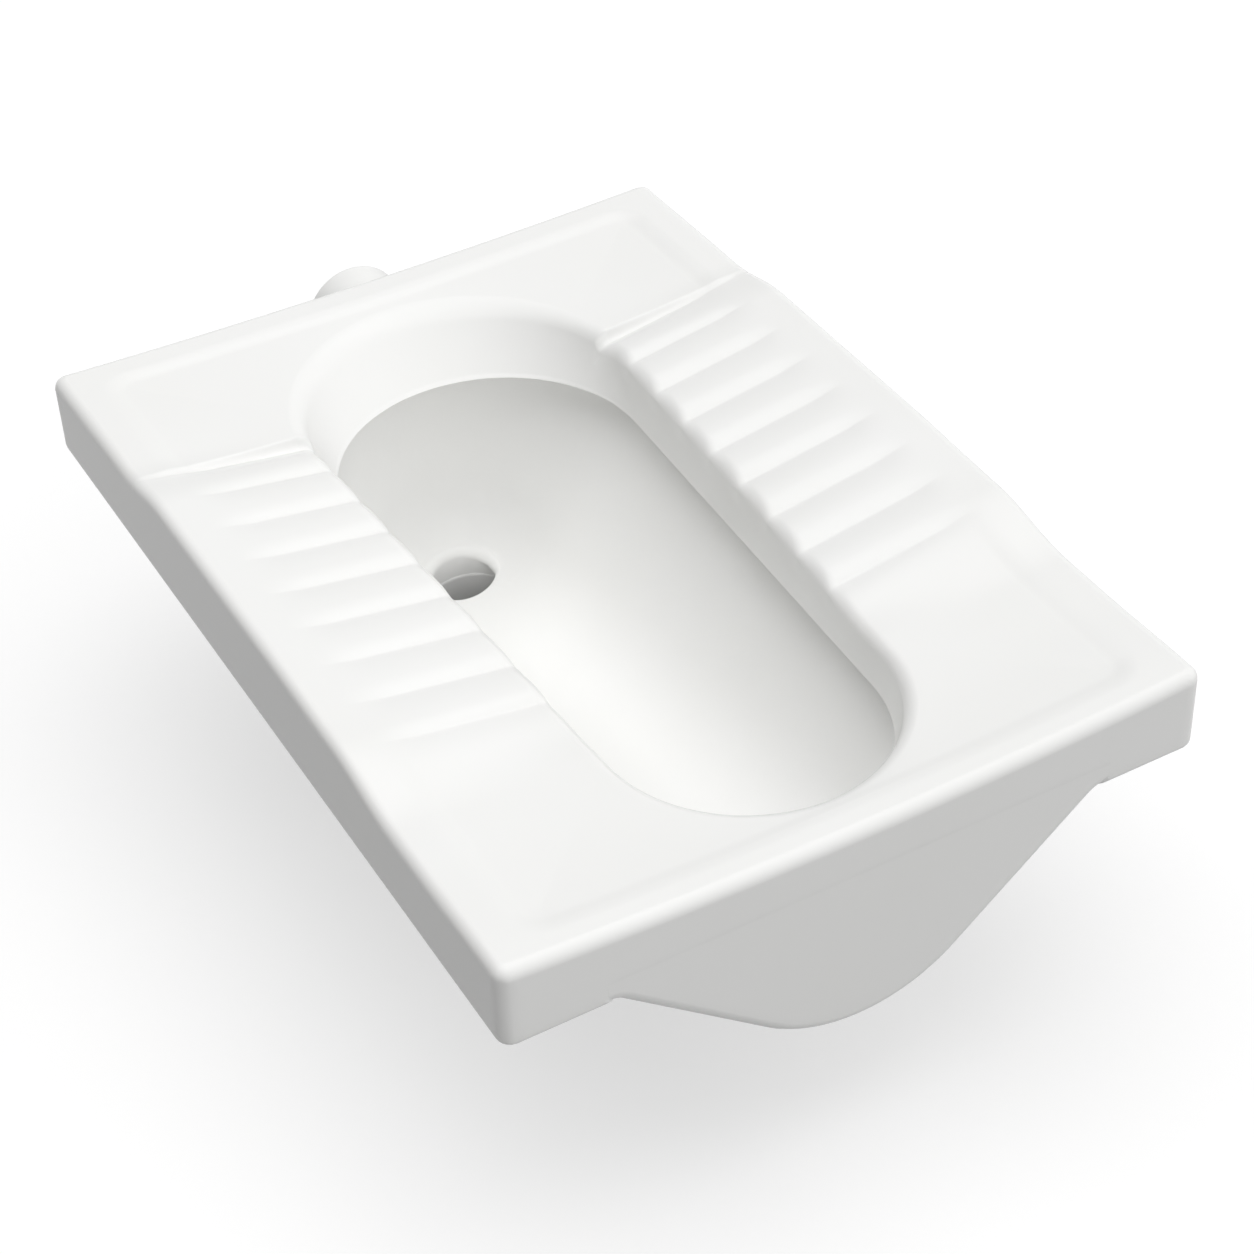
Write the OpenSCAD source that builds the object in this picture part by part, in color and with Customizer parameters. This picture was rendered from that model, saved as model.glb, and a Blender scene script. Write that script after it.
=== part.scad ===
// Squat toilet pan with foot treads, box flush rim, sloping bowl and vertical outlet
// Millimetres, +Z up, +Y towards the flush inlet, origin at the end of the outlet on its axis

/* [Deck] */
// Width of the deck across the foot treads
deck_width = 450; // [430:5:500]
// Length of the deck from the front edge to the inlet edge
deck_length = 630; // [615:5:700]
// Height of the skirt from the deck's corner plane to its lower edge
skirt_height = 57; // [52:1:75]
// Thickness of the skirt wall
skirt_wall = 12; // [9:1:14]
// Depth of the plate from the corner plane to its underside
plate_depth = 27; // [25:1:32]
// Radius of the four corners in plan
plan_corner_radius = 9; // [8.5:0.5:20]
// Radius along the top edge
top_edge_radius = 8; // [4:0.5:8]
// Radius along the lower edge of the sides and the rear
lower_edge_radius = 5; // [2:0.5:5.5]
// How far the deck dips along its centre line
deck_dish = 5; // [2:0.5:5]
// Width of the raised border along the sides
side_border = 30; // [24:1:34]
// Width of the raised border at the inlet edge
rear_border = 27; // [20:1:34]
// Width of the raised border at the front edge
front_border = 22; // [16:1:26]
// Radius of the tray's outer corners
tray_corner_radius = 14; // [8:1:24]
// Depth of the tray at its far corners
tray_lip_depth = 4; // [2:0.5:4.5]
// Depth of the tray where it reaches the opening
tray_mouth_depth = 12; // [10:0.5:14]

/* [Opening] */
// Radius of the opening's rear end
opening_rear_radius = 103.5; // [96:0.5:108]
// Radius of the opening's front end
opening_front_radius = 90; // [84:0.5:94]
// Deck left between the opening and the inlet edge
rear_land = 57; // [54:1:64]
// Deck left between the opening and the front edge
front_land = 35; // [33:1:42]
// Radius of the rolled edge of the opening
edge_roll_radius = 13; // [8:0.5:14]

/* [Foot treads] */
// Height of the treads above the corner plane at the deck's sides
tread_rise = 11; // [8:0.5:13]
// Distance from the inlet edge to the rear end of the treads
tread_setback = 129; // [120:1:136]
// Length of one tread
tread_length = 370; // [350:1:380]
// Depth of the seat that a tread stands on
tread_seat_depth = 15; // [14:0.5:16]
// Length of the steep rise at the rear end
rear_rise_length = 46; // [36:1:56]
// Length of the gentle fall at the front end
front_fall_length = 120; // [100:1:140]
// Number of ribs on one tread
rib_count = 8; // [6:1:8]
// Distance from one groove to the next
rib_pitch = 37.4; // [34:0.1:38]
// Distance from the rear end of the tread to its first rib's middle
first_rib_setback = 34; // [32:1:38]
// Radius of a rib's rounded back
rib_radius = 26; // [24:0.5:30]
// Fall of a rib's top from the deck's side to the opening
rib_fall = 16; // [12:0.5:18]
// Depth of the grooves at the opening
groove_depth = 7; // [4:0.5:8]
// Distance from the deck's side to the outer end of the grooves
groove_margin = 28; // [24:1:36]

/* [Flush rim] */
// Depth of the rim's lower lip below the corner plane
lip_depth = 45; // [44:1:50]
// How far the rim's wall leans in at the rear
lip_rear_lean = 35; // [28:1:38]
// How far the rim's wall leans in at the front
lip_front_lean = 10; // [6:1:14]
// How far the rim's wall leans in at the sides
lip_side_lean = 2; // [0.5:0.5:4]
// Thickness of the rim's walls
rim_wall = 8; // [6:0.5:8]
// Width of the water channel along the sides
channel_width = 16; // [12:0.5:18]
// Extra width of the water channel at the rear
channel_rear_width = 16; // [10:1:18]
// Radius of a flush hole
flush_hole_radius = 3; // [2:0.25:3.5]
// Number of flush holes along one side
flush_hole_count = 7; // [4:1:9]

/* [Bowl] */
// Thickness of the bowl's wall
bowl_wall = 12; // [9:0.5:13]
// Gap between the rim's lip and the bowl's inner wall
lip_gap = 19; // [14:1:20]
// Radius across the keel of the bowl at the front
keel_radius = 100; // [92:1:104]
// Slope of the bowl's flanks at the front, in degrees
flank_angle = 39.7; // [37:0.1:43]
// Depth of the bowl's outer bottom over the drain, from the corner plane
drain_floor_depth = 200; // [190:1:206]
// Radius of the bowl's rounded end over the drain
sump_radius = 76; // [68:1:80]

/* [Front apron] */
// Radius of the apron's outer edge
apron_edge_radius = 8; // [4:0.5:10]
// Radius of the hollow where the apron runs into the skirt
apron_fillet_radius = 16; // [8:1:24]
// Height of the step by which the apron is let into the skirt
apron_step_height = 16; // [8:1:22]

/* [Outlet] */
// Distance from the inlet edge to the outlet's axis
outlet_setback = 145; // [142:1:150]
// Outer radius of the outlet spigot
outlet_radius = 45; // [42:0.5:50]
// Radius of the drain and the outlet's bore
drain_radius = 34; // [30:0.5:36]
// Radius of the rolled edge round the drain
drain_edge_radius = 8; // [4:0.5:9]
// Depth of the outlet's end below the corner plane
outlet_depth = 250; // [244:1:264]
// Length of the outlet's straight wall below its flared root
outlet_length = 52; // [44:1:54]

/* [Flush inlet] */
// Outer radius of the inlet horn
horn_radius = 34; // [32:0.5:36]
// Radius of the socket for the flush pipe
socket_radius = 22; // [19:0.5:23]
// Radius of the water way behind the socket
water_way_radius = 15; // [12:0.5:15.5]
// How far the horn stands out from the deck
horn_reach = 20; // [14:1:26]
// Depth of the horn's axis below the corner plane
horn_depth = 40; // [39:0.5:42]

/* [Hidden] */
$fn = 96;
// Points round each lofted outline
loft_points = 56;
// Segments round the bowl's blended surfaces
bowl_fn = 40;
// Extra length of every cutting shape
overrun = 10;
// Gap between round faces that fit together
fit_clearance = 0.3;
// Radius of the skirt's inner corners
inner_corner_radius = 6;
// How far the channel's front end stands back from the rim's wall
channel_front_pull = 8;
// Distance from the channel's inner side to the middle of a flush hole
flush_hole_inset = 5;
// Gap between the bowl and the horn's closed end
horn_root_gap = 2;
// Places of the opening's wall rows between the lip and the rolled edge
wall_row_shares = [0, 0.35, 0.7];
// Steps round each rolled edge
roll_steps = 5;
// Angle at which the trays' rolled edge begins
tray_roll_start = 30;
// Segments of the wide cylinder that dips the deck
dish_fn = 720;
// Where a rib's ball end is centred, as a share of its radius from the opening
rib_ball_share = 0.6;
// Length of the full keel behind the front edge, as a share of the deck's length
keel_length_share = 0.24;
glaze = [0.95, 0.95, 0.94];

// Places worked out from the sizes above, with the deck's centre at x = y = 0
rear_y = deck_length/2;
front_y = -deck_length/2;
side_x = deck_width/2;
opening_rear_y = rear_y - rear_land - opening_rear_radius;
opening_front_y = front_y + front_land + opening_front_radius;
tread_rear_y = rear_y - tread_setback;
tread_front_y = tread_rear_y - tread_length;
tread_seat_z = -tread_seat_depth;
tread_top_drop = tread_rise - rib_fall;
tread_roll_z = tread_top_drop;
tray_meet_z = -(tray_lip_depth + tray_mouth_depth)/2;
tray_roll_z = (tray_mouth_depth - tray_lip_depth)*edge_roll_radius/(side_x - opening_rear_radius)
              - tray_mouth_depth;
drain_y = rear_y - outlet_setback;
plate_floor_z = -plate_depth;
skirt_foot_z = -skirt_height;
lip_z = -lip_depth;
channel_floor_z = lip_z + rim_wall;
sump_z = sump_radius - drain_floor_depth;
// The root's round touches both the outlet's wall and the bowl's round bottom
root_drop = outlet_depth - outlet_length + sump_z;
root_radius = (root_drop*root_drop - sump_radius*sump_radius + outlet_radius*outlet_radius)
              /(2*(sump_radius - outlet_radius));
// The drain's rolled edge touches the bore and the bowl's round floor
drain_edge_reach = sump_radius - bowl_wall + drain_edge_radius;
drain_edge_drop = sqrt(drain_edge_reach*drain_edge_reach - pow(drain_radius + drain_edge_radius, 2));
horn_mouth_y = rear_y + horn_reach;
// The socket ends at the skirt's inner face
socket_depth = horn_reach + skirt_wall;
horn_z = -horn_depth;
apron_back_y = front_y + skirt_wall;
flank_reach = keel_radius/sin(flank_angle);
apron_half_width = (keel_radius + apron_fillet_radius*(1 - cos(flank_angle)))/sin(flank_angle);

// An outline is given as [rear radius, rear centre, front radius, front centre]
opening_outline = [opening_rear_radius, opening_rear_y, opening_front_radius, opening_front_y];
lip_outline = [opening_rear_radius - lip_side_lean,
               opening_rear_y - lip_rear_lean + lip_side_lean,
               opening_front_radius - lip_side_lean,
               opening_front_y + lip_front_lean - lip_side_lean];

function grown(outline, by) = [outline[0] + by, outline[1], outline[2] + by, outline[3]];
function mixed(part) = opening_outline*(1 - part) + lip_outline*part;
function tangent_angle(outline) = asin((outline[0] - outline[2])/(outline[1] - outline[3]));

// The water channel, wider at the rear, where the horn feeds it
channel_inner = grown(mixed(plate_floor_z/lip_z), rim_wall);
channel_outer = [channel_inner[0] + channel_width, channel_inner[1] + channel_rear_width,
                 channel_inner[2] + channel_width, channel_inner[3] + channel_front_pull];
bowl_mouth = grown(lip_outline, lip_gap);
horn_root_y = bowl_mouth[0] + bowl_mouth[1] + bowl_wall + horn_root_gap;

// Points of the rear arc, then of the front arc, joined by the straight sides
function outline_points(outline, z) =
  let (lean = tangent_angle(outline), half = loft_points/2)
  concat(
    [for (i = [0:half - 1]) let (a = -lean + (180 + 2*lean)*i/(half - 1))
      [outline[0]*cos(a), outline[1] + outline[0]*sin(a), z]],
    [for (i = [0:half - 1]) let (a = 180 + lean + (180 - 2*lean)*i/(half - 1))
      [outline[2]*cos(a), outline[3] + outline[2]*sin(a), z]]);

// Skin over rows of points that are listed from the bottom up
module loft(rows) {
  count = len(rows[0]);
  last = len(rows) - 1;
  walls = [for (r = [0:last - 1]) for (i = [0:count - 1])
    [r*count + i, (r + 1)*count + i, (r + 1)*count + (i + 1)%count, r*count + (i + 1)%count]];
  floor_face = [for (i = [0:count - 1]) i];
  top_face = [for (i = [count - 1:-1:0]) last*count + i];
  polyhedron([for (row = rows) for (p = row) p], concat(walls, [floor_face], [top_face]));
}

module egg(outline) {
  lean = tangent_angle(outline);
  translate([0, outline[1]]) circle(outline[0]);
  translate([0, outline[3]]) circle(outline[2]);
  polygon([[outline[0]*cos(lean), outline[1] - outline[0]*sin(lean)],
           [-outline[0]*cos(lean), outline[1] - outline[0]*sin(lean)],
           [-outline[2]*cos(lean), outline[3] - outline[2]*sin(lean)],
           [outline[2]*cos(lean), outline[3] - outline[2]*sin(lean)]]);
}

module egg_block(outline, low, high) {
  translate([0, 0, low]) linear_extrude(high - low) egg(outline);
}

// Rows of a quarter round that opens upwards from the wall, from the first angle to the flat
function roll_rows(roll_top, first_angle) =
  [for (i = [0:roll_steps])
    let (a = first_angle + (90 - first_angle)*i/roll_steps,
         z = roll_top - edge_roll_radius*(1 - sin(a)))
      outline_points(grown(mixed(z/lip_z), edge_roll_radius*(1 - cos(a))), z)];

function row_above(roll_top) =
  outline_points(grown(mixed(roll_top/lip_z), edge_roll_radius), tread_rise + overrun);

// The space inside the opening: the leaning wall, then a rolled edge that ends at the treads' tops
module opening_space() {
  roll_foot = tread_roll_z - edge_roll_radius;
  wall_rows = [for (part = wall_row_shares)
    let (z = lip_z + (roll_foot - lip_z)*part) outline_points(mixed(z/lip_z), z)];
  below = outline_points(lip_outline, lip_z - overrun);
  loft(concat([below], wall_rows, roll_rows(tread_roll_z, 0), [row_above(tread_roll_z)]));
}

// What the lower edge of the trays is rolled off with, past both ends of the treads
module tray_roll_space() {
  roll_foot = tray_roll_z - edge_roll_radius;
  inside = outline_points(grown(mixed(roll_foot/lip_z), -edge_roll_radius/2), roll_foot);
  intersection() {
    loft(concat([inside], roll_rows(tray_roll_z, tray_roll_start), [row_above(tray_roll_z)]));
    union() {
      translate([-side_x, tread_rear_y, lip_z]) cube([deck_width, tread_setback, lip_depth + overrun]);
      translate([-side_x, front_y, lip_z])
        cube([deck_width, tread_front_y - front_y, lip_depth + overrun]);
    }
  }
}

// A flat rectangle with chosen radii at its upper and lower corners
module rounded_face(left, right, low, high, upper_radius, lower_left_radius, lower_right_radius) {
  difference() {
    translate([left, low]) square([right - left, high - low]);
    corner_cut(left, high, 1, -1, upper_radius);
    corner_cut(right, high, -1, -1, upper_radius);
    corner_cut(left, low, 1, 1, lower_left_radius);
    corner_cut(right, low, -1, 1, lower_right_radius);
  }
}

// What is cut away at a corner to leave a quarter circle, towards the inside given by the two signs
module corner_cut(x, y, inward_x, inward_y, radius) {
  if (radius > 0) translate([x, y]) mirror([inward_x < 0 ? 1 : 0, 0]) mirror([0, inward_y < 0 ? 1 : 0])
    difference() {
      translate([-overrun, -overrun]) square(radius + overrun);
      translate([radius, radius]) circle(radius);
    }
}

module plan_block(inset, corner, low, high) {
  translate([0, 0, low]) linear_extrude(high - low)
    rounded_face(inset - side_x, side_x - inset, front_y + inset, rear_y - inset, corner, corner, corner);
}

// The deck's outer form: plan, cross section and side section in one
module deck_envelope(high) {
  intersection() {
    plan_block(0, plan_corner_radius, skirt_foot_z, high);
    translate([0, rear_y + overrun, 0]) rotate([90, 0, 0]) linear_extrude(deck_length + 2*overrun)
      rounded_face(-side_x, side_x, skirt_foot_z, high, top_edge_radius, lower_edge_radius,
        lower_edge_radius);
    translate([-side_x - overrun, 0, 0]) rotate([90, 0, 90]) linear_extrude(deck_width + 2*overrun)
      rounded_face(front_y, rear_y, skirt_foot_z, high, top_edge_radius, 0, lower_edge_radius);
  }
}

// A long shallow trough that dips the deck along its centre line
module dish_space() {
  reach = side_x - top_edge_radius;
  dish_radius = (reach*reach + deck_dish*deck_dish)/(2*deck_dish);
  translate([0, rear_y + overrun, dish_radius - deck_dish]) rotate([90, 0, 0])
    cylinder(r = dish_radius, h = deck_length + 2*overrun, $fn = dish_fn);
}

// The tray inside the border, falling like a shallow cone to one end of the opening
module tray_space(centre_y, mouth_radius, low_y, high_y) {
  slope = (tray_mouth_depth - tray_lip_depth)/(side_x - mouth_radius);
  intersection() {
    translate([0, 0, -tray_mouth_depth]) linear_extrude(tread_rise + tray_mouth_depth)
      rounded_face(side_border - side_x, side_x - side_border, low_y, high_y, tray_corner_radius,
        tray_corner_radius, tray_corner_radius);
    translate([0, centre_y, -tray_mouth_depth])
      cylinder(r1 = mouth_radius, r2 = mouth_radius + deck_width, h = slope*deck_width);
  }
}

module deck_plate() {
  color(glaze) difference() {
    deck_envelope(0);
    dish_space();
    plan_block(skirt_wall, inner_corner_radius, skirt_foot_z - overrun, plate_floor_z);
    tray_space(opening_rear_y, opening_rear_radius, tread_rear_y - tray_corner_radius,
      rear_y - rear_border);
    tray_space(opening_front_y, opening_front_radius, front_y + front_border,
      tread_front_y + tray_corner_radius);
    translate([-side_x - overrun, tread_front_y, tread_seat_z])
      cube([deck_width + 2*overrun, tread_length, tread_seat_depth + overrun]);
    opening_space();
    tray_roll_space();
    horn_hole();
    translate([-apron_half_width, front_y - overrun, skirt_foot_z - overrun])
      cube([2*apron_half_width, skirt_wall + overrun, apron_step_height + overrun]);
  }
}

module horn_hole() {
  translate([0, rear_y + overrun, horn_z]) rotate([90, 0, 0])
    cylinder(r = horn_radius + fit_clearance, h = skirt_wall + overrun);
}

function ease(t) = t*t*(3 - 2*t);

// Side section of a tread: a steep rise at the rear, a flat back and a long gentle fall to the front
module tread_side_section(end_z) {
  steps = 12;
  rear_rise = [for (i = [0:steps]) let (t = i/steps)
    [tread_rear_y - rear_rise_length*t, end_z + (tread_rise - end_z)*ease(t)]];
  front_fall = [for (i = [0:steps]) let (t = i/steps)
    [tread_front_y + front_fall_length*(1 - t), end_z + (tread_rise - end_z)*ease(1 - t)]];
  polygon(concat([[tread_front_y, tread_seat_z], [tread_rear_y, tread_seat_z]], rear_rise, front_fall));
}

module tread_envelope() {
  intersection() {
    deck_envelope(tread_rise);
    union() {
      rotate([90, 0, 90]) linear_extrude(side_x - side_border) tread_side_section(tray_meet_z);
      translate([side_x - side_border, 0, 0]) rotate([90, 0, 90]) linear_extrude(side_border)
        tread_side_section(0);
    }
  }
}

// Cross section of a tread under its ribs: grooves run out at the margin and deepen to the opening
module tread_cross_section(depth) {
  slope = rib_fall/(side_x - opening_rear_radius);
  margin_x = side_x - groove_margin;
  polygon([[0, tread_seat_z], [side_x, tread_seat_z], [side_x, tread_rise],
           [margin_x, tread_rise - slope*groove_margin],
           [opening_rear_radius, tread_top_drop - depth], [0, tread_top_drop - depth]]);
}

// One rib with a round back and a ball end at the opening
module tread_rib(y) {
  lean = atan(rib_fall/(side_x - opening_rear_radius));
  translate([opening_rear_radius, y, tread_top_drop]) rotate([0, -lean, 0])
    translate([rib_ball_share*rib_radius, 0, -rib_radius]) {
      rotate([0, 90, 0]) cylinder(r = rib_radius, h = side_x - opening_rear_radius);
      sphere(rib_radius);
    }
}

module foot_tread() {
  last_rib_y = tread_rear_y - first_rib_setback - rib_count*rib_pitch;
  difference() {
    intersection() {
      tread_envelope();
      union() {
        translate([0, tread_rear_y, 0]) rotate([90, 0, 0]) linear_extrude(tread_length)
          tread_cross_section(groove_depth);
        translate([0, last_rib_y, 0]) rotate([90, 0, 0]) linear_extrude(last_rib_y - tread_front_y)
          tread_cross_section(0);
        for (i = [0:rib_count]) tread_rib(tread_rear_y - first_rib_setback - i*rib_pitch);
      }
    }
    opening_space();
  }
}

module right_foot_tread() {
  color(glaze) foot_tread();
}

module left_foot_tread() {
  color(glaze) mirror([1, 0, 0]) foot_tread();
}

// A square ring that hangs under the plate and leads the flush water round the opening
module flush_rim() {
  color(glaze) difference() {
    egg_block(grown(channel_outer, rim_wall), lip_z, plate_floor_z);
    difference() {
      egg_block(channel_outer, channel_floor_z, plate_floor_z + overrun);
      egg_block(channel_inner, lip_z - overrun, plate_floor_z + 2*overrun);
    }
    opening_space();
    flush_holes();
    translate([0, rear_y, horn_z]) rotate([90, 0, 0])
      cylinder(r = horn_radius + fit_clearance, h = rear_y - horn_root_y + fit_clearance);
  }
}

module flush_holes() {
  hole_x = channel_inner[0] + flush_hole_inset;
  hole_front_x = channel_inner[2] + flush_hole_inset;
  for (side = [-1, 1]) for (i = [0:flush_hole_count - 1]) {
    along = i/(flush_hole_count - 1);
    translate([side*(hole_x + (hole_front_x - hole_x)*along),
               channel_inner[1] + (channel_inner[3] - channel_inner[1])*along, lip_z - overrun])
      cylinder(r = flush_hole_radius, h = rim_wall + 2*overrun);
  }
}

// The bowl's outside: mouth, front keel and sump blended into one convex form
module bowl_form() {
  keel_end_y = front_y + keel_length_share*deck_length;
  hull() {
    egg_block(grown(bowl_mouth, bowl_wall), lip_z - rim_wall, lip_z + overrun);
    translate([0, keel_end_y, skirt_foot_z]) rotate([90, 0, 0])
      cylinder(r = keel_radius, h = keel_end_y - apron_back_y, $fn = bowl_fn);
    translate([-flank_reach, apron_back_y, skirt_foot_z])
      cube([2*flank_reach, skirt_wall, rim_wall]);
    translate([0, drain_y, sump_z]) sphere(sump_radius, $fn = bowl_fn);
  }
}

module bowl_hollow() {
  hull() {
    egg_block(bowl_mouth, lip_z - rim_wall, lip_z + overrun);
    translate([0, bowl_mouth[3], skirt_foot_z]) sphere(keel_radius - bowl_wall, $fn = bowl_fn);
    translate([0, drain_y, sump_z]) sphere(sump_radius - bowl_wall, $fn = bowl_fn);
  }
}

module bowl() {
  color(glaze) difference() {
    intersection() {
      bowl_form();
      translate([-side_x, front_y, -outlet_depth]) cube([deck_width, deck_length, outlet_depth + lip_z]);
    }
    bowl_hollow();
    translate([0, drain_y, sump_z]) {
      rotate_extrude() round_root(drain_radius, drain_edge_radius, drain_edge_drop);
      translate([0, 0, -outlet_depth]) cylinder(r = drain_radius, h = outlet_depth);
    }
  }
}

// Section of a flare round an axis: a pipe's wall runs into a ball by a round that touches both
module round_root(wall_radius, round_radius, drop) {
  difference() {
    polygon([[0, 0], [0, -drop], [wall_radius + round_radius, -drop]]);
    translate([wall_radius + round_radius, -drop]) circle(round_radius);
  }
}

// The bell-shaped front wall under the skirt: a round keel with two straight flanks
module front_apron() {
  color(glaze) translate([0, apron_back_y, skirt_foot_z]) rotate([90, 0, 0]) {
    intersection() {
      union() {
        rotate([0, 0, -flank_angle - 90]) rotate_extrude(angle = 2*flank_angle) apron_edge_section();
        apron_flank();
        mirror([1, 0, 0]) apron_flank();
      }
      translate([-side_x, -side_x, 0]) cube([deck_width, side_x, skirt_wall]);
    }
    linear_extrude(skirt_wall)
      polygon([[-apron_half_width, apron_step_height], [apron_half_width, apron_step_height],
               [apron_half_width, 0], [flank_reach, 0], [0, -keel_radius/2], [-flank_reach, 0],
               [-apron_half_width, 0]]);
    apron_fillet();
    mirror([1, 0, 0]) apron_fillet();
  }
}

module apron_edge_section() {
  difference() {
    square([keel_radius, skirt_wall]);
    corner_cut(keel_radius, skirt_wall, -1, -1, apron_edge_radius);
  }
}

module apron_flank() {
  flank_length = keel_radius/tan(flank_angle);
  rotate([0, 0, flank_angle - 90]) translate([0, flank_length, 0]) rotate([90, 0, 0])
    linear_extrude(flank_length) apron_edge_section();
}

module apron_fillet() {
  linear_extrude(skirt_wall) difference() {
    polygon([[flank_reach, 0], [apron_half_width, 0],
             [apron_half_width - apron_fillet_radius*sin(flank_angle),
              apron_fillet_radius*(cos(flank_angle) - 1)]]);
    translate([apron_half_width, -apron_fillet_radius]) circle(apron_fillet_radius);
  }
}

// A tube with a socket for the flush pipe and a cross way into the rim's channel
module inlet_horn() {
  color(glaze) difference() {
    horn_length = horn_mouth_y - horn_root_y;
    translate([0, horn_mouth_y, horn_z]) rotate([90, 0, 0]) cylinder(r = horn_radius, h = horn_length);
    translate([-side_x, 0, plate_floor_z]) cube([deck_width, rear_y - skirt_wall, plate_depth]);
    translate([0, horn_mouth_y + overrun, horn_z]) rotate([90, 0, 0])
      cylinder(r = socket_radius, h = socket_depth + overrun);
    translate([0, horn_mouth_y, horn_z]) rotate([90, 0, 0])
      cylinder(r = water_way_radius, h = horn_length - rim_wall);
    translate([-side_x, horn_root_y + rim_wall, channel_floor_z])
      cube([deck_width, channel_rear_width, plate_floor_z - channel_floor_z + overrun]);
  }
}

// A straight pipe with a flared root that seats on the bowl's sloping bottom
module outlet_spigot() {
  color(glaze) difference() {
    translate([0, drain_y, sump_z]) rotate_extrude() {
      translate([0, -root_drop - outlet_length]) square([outlet_radius, outlet_length]);
      round_root(outlet_radius, root_radius, root_drop);
    }
    bowl_form();
    translate([0, drain_y, -outlet_depth - overrun])
      cylinder(r = drain_radius, h = outlet_depth + overrun);
  }
}

module in_place() {
  translate([0, -drain_y, outlet_depth]) children();
}

in_place() deck_plate();
in_place() left_foot_tread();
in_place() right_foot_tread();
in_place() flush_rim();
in_place() bowl();
in_place() front_apron();
in_place() inlet_horn();
in_place() outlet_spigot();
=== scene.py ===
import bmesh
import bpy
import numpy as np
from mathutils import Matrix, Vector


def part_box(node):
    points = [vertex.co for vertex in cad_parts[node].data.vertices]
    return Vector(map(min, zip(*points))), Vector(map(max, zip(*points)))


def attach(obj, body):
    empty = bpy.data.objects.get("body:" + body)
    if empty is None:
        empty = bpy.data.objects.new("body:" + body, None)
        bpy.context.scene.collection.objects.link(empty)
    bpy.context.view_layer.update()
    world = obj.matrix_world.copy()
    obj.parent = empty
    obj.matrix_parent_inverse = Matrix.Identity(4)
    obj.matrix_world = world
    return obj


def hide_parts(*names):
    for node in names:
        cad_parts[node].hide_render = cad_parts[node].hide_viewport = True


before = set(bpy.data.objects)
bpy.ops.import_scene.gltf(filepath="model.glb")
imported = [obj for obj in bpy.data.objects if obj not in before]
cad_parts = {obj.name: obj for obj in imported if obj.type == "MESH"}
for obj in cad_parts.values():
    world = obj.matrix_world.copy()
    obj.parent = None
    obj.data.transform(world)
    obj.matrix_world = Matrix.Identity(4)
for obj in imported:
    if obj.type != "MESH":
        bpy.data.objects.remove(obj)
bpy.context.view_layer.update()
print("frame loaded:", len(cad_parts), "nodes")

# Sizes are in millimetres, measured from the middle of the deck at its corner plane.
# The front is -y, the flush inlet is +y and the depths are negative.
deck = {
    "halfWidth": 225, "halfLength": 315, "skirtFoot": -57, "plateFloor": -27, "skirtWall": 12,
    "planCorner": 9, "innerCorner": 6, "topEdge": 8, "lowerEdge": 5, "seatLevel": -20,
    "rearDish": 4.7, "frontDish": 8.5,            # how far the end edges sag in the middle
    "trayHalfWidth": 195, "trayRear": 288, "trayFront": -292, "trayCorner": 16, "trayLipWidth": 15,
    "trayLip": 1.6, "trayMouth": (-8.0, -12.5),   # the trays fall from a low lip to the opening
    "notchLevel": -41,                            # where the front wall is let in
    # The side edge's height: at its rear end, then steps of (start, run to the front, rise)
    "sideBase": 1.5,
    "sideSteps": ((190, 60, 8.8), (-20, 98, -2.0), (-118, 70, -10.1), (-225, 75, 1.8), (200, -115, -2.0)),
}
opening = {
    "outline": (108.5, 166.0, 91.5, -190.0),      # rear radius, rear centre, front radius, front centre
    "lip": (101.5, 121.5, 88.0, -182.0),          # the same at the foot of the leaning wall
    "lipLevel": -45, "sideRoll": 7.5, "rearRoll": 9, "lipRound": 2,
}
tread = {
    "rear": 186, "front": -184, "fall": 16, "rearStep": (175, 168.5), "frontStep": (-186, -112),
    "firstGroove": 133.3, "pitch": 37.4, "grooves": 8, "grooveStart": 205, "grooveTip": 30,
    "outerDepth": 2.1, "innerDepth": 4.2, "rollFade": 0.8, "wallFade": 9,
    "pillow": 2.3, "crest": 0.62, "grooveRound": 0.05,    # shape of a rib, in shares of the pitch
}

deckLow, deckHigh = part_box("deck_plate")
deckOrigin = np.array([(deckLow.x + deckHigh.x)/2, (deckLow.y + deckHigh.y)/2,
                       deckLow.z - deck["skirtFoot"]/1000])


def toMetres(points):
    return np.asarray(points, float)/1000 + deckOrigin


def ease(t):
    t = np.clip(t, 0, 1)
    return t*t*(3 - 2*t)


def between(value, start, end):
    return ease((value - start)/(end - start))


def mixed(a, b, part):
    return tuple(p + (q - p)*part for p, q in zip(a, b))


def grown(outline, by):
    return outline[0] + by, outline[1], outline[2] + by, outline[3]


# Plan lines across the deck, u from 0 to 4: straight across the right tread from front to rear,
# fanned out round the rear end, straight across the left tread, fanned out round the front end.
linePoles = (-193.5, 186.0)


def planLine(u):
    u = np.asarray(u, float) % 4
    stretch = np.floor(u)
    part = u - stretch
    low, high = linePoles
    poleY = np.select([stretch == 0, stretch == 1, stretch == 2],
                      [low + (high - low)*part, high, high - (high - low)*part], low)
    angle = np.pi*np.select([stretch == 0, stretch == 1, stretch == 2], [0*part, part, 1 + 0*part], 1 + part)
    return poleY, np.cos(angle), np.sin(angle)


def sideU(y, left=False):
    part = (np.asarray(y, float) - linePoles[0])/(linePoles[1] - linePoles[0])
    return 3 - part if left else part


# Distance from a point of the middle line to a round: the far root of |pole + t*line - centre| = radius
def roundReach(line, radius, centreX, centreY):
    poleY, dirX, dirY = line
    along = centreX*dirX + (centreY - poleY)*dirY
    return along + np.sqrt(np.maximum(along**2 - centreX**2 - (centreY - poleY)**2 + radius**2, 0))


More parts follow.
